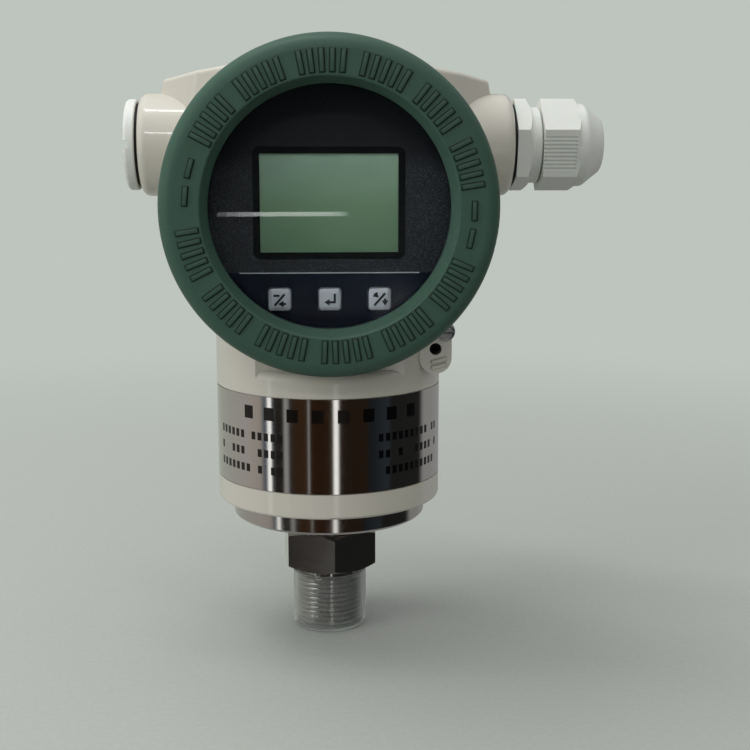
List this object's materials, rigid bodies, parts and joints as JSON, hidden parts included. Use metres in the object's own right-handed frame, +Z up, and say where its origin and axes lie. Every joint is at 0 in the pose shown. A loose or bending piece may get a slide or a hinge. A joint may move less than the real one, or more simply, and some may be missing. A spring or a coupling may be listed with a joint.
{
  "type": "pressure transmitter",
  "caption": "Two-compartment field transmitter head with a round display window, keys and two conduit entries, on a round collar, a hexagon and a capped process thread.",
  "frame": {"origin": "on the neck's axis at the free end of the process thread", "axes": "+Z up along the neck, -Y the way the display faces, X along the two conduit entries, gland on +X"},
  "size_m": [0.1408, 0.09, 0.1774],
  "materials": {
    "casting": "gloss paint on a die casting",
    "green_coat": "satin powder coat",
    "plate_steel": "polished sheet",
    "turned_steel": "fine turned",
    "screw_steel": "bright zinc",
    "ring_aluminium": "black anodised",
    "plated_brass": "nickel plated",
    "black_rubber": "matt",
    "window_glass": "polished",
    "overlay_film": "printed film, fine texture",
    "lcd_face": "grey-green display, off",
    "dark_moulding": "moulded",
    "circuit_board": "solder mask",
    "key_plastic": "satin",
    "white_nylon": "satin nylon",
    "clear_plastic": "translucent polyethylene"
  },
  "bodies": {
    "head": {"housing": "casting", "nameplate_band": "plate_steel", "band_rivets": "plate_steel", "sensor_body": "turned_steel", "sensor_seal": "black_rubber", "sensor_capsule": "turned_steel", "display_overlay": "overlay_film", "display_case": "dark_moulding", "lcd_panel": "lcd_face", "display_board": "circuit_board", "display_posts": "plated_brass", "main_board": "circuit_board", "board_standoffs": "plated_brass", "board_screws": "screw_steel", "terminal_block": "dark_moulding", "terminal_screws": "screw_steel", "terminal_block_screws": "screw_steel", "inner_earth_screw": "screw_steel", "cover_lock_screw": "screw_steel", "earth_screw": "screw_steel", "earth_washer": "screw_steel", "gland_body": "white_nylon", "gland_gasket": "black_rubber"},
    "front_seal": {"front_cover_seal": "black_rubber"},
    "front_cover": {"front_cover": "green_coat", "window_glass": "window_glass", "window_gasket": "black_rubber", "glass_ring": "ring_aluminium"},
    "rear_seal": {"rear_cover_seal": "black_rubber"},
    "rear_cover": {"rear_cover": "green_coat"},
    "plug_seal": {"plug_seal": "black_rubber"},
    "plug": {"conduit_plug": "white_nylon"},
    "gland_bush": {"gland_seal": "black_rubber"},
    "gland_nut": {"gland_nut": "white_nylon"},
    "key_left": {"key_left": "key_plastic"},
    "key_middle": {"key_middle": "key_plastic"},
    "key_right": {"key_right": "key_plastic"},
    "thread_cap": {"thread_cap": "clear_plastic"}
  },
  "joints": [
    {"name": "front_cover_travel", "type": "slide", "parent": "head", "child": "front_seal", "axis": [0, -1, 0], "range_m": [0, 0.01002]},
    {"name": "front_cover_turn", "type": "hinge", "parent": "front_seal", "child": "front_cover", "pos_m": [0, 0, 0.1301], "axis": [0, -1, 0], "range_deg": [0, 1800]},
    {"name": "rear_cover_travel", "type": "slide", "parent": "head", "child": "rear_seal", "axis": [0, 1, 0], "range_m": [0, 0.01002]},
    {"name": "rear_cover_turn", "type": "hinge", "parent": "rear_seal", "child": "rear_cover", "pos_m": [0, 0, 0.1301], "axis": [0, 1, 0], "range_deg": [0, 1800]},
    {"name": "plug_travel", "type": "slide", "parent": "head", "child": "plug_seal", "axis": [-1, 0, 0], "range_m": [0, 0.01202]},
    {"name": "plug_turn", "type": "hinge", "parent": "plug_seal", "child": "plug", "pos_m": [0, 0, 0.1471], "axis": [-1, 0, 0], "range_deg": [0, 2880]},
    {"name": "gland_nut_travel", "type": "slide", "parent": "head", "child": "gland_bush", "axis": [1, 0, 0], "range_m": [0, 0.00602]},
    {"name": "gland_nut_turn", "type": "hinge", "parent": "gland_bush", "child": "gland_nut", "pos_m": [0, 0, 0.1471], "axis": [1, 0, 0], "range_deg": [0, 1440]},
    {"name": "key_left_press", "type": "slide", "parent": "head", "child": "key_left", "axis": [0, 1, 0], "range_m": [0, 0.0006], "stiffness_N_per_m": 800},
    {"name": "key_middle_press", "type": "slide", "parent": "head", "child": "key_middle", "axis": [0, 1, 0], "range_m": [0, 0.0006], "stiffness_N_per_m": 800},
    {"name": "key_right_press", "type": "slide", "parent": "head", "child": "key_right", "axis": [0, 1, 0], "range_m": [0, 0.0006], "stiffness_N_per_m": 800},
    {"name": "thread_cap_pull", "type": "slide", "parent": "head", "child": "thread_cap", "axis": [0, 0, -1], "range_m": [0, 0.05]}
  ],
  "couplings": [
    {"joint": "front_cover_travel", "follows": "front_cover_turn", "m_per_rad": 0.00031831},
    {"joint": "rear_cover_travel", "follows": "rear_cover_turn", "m_per_rad": 0.00031831},
    {"joint": "plug_travel", "follows": "plug_turn", "m_per_rad": 0.00023873},
    {"joint": "gland_nut_travel", "follows": "gland_nut_turn", "m_per_rad": 0.00023873}
  ]
}
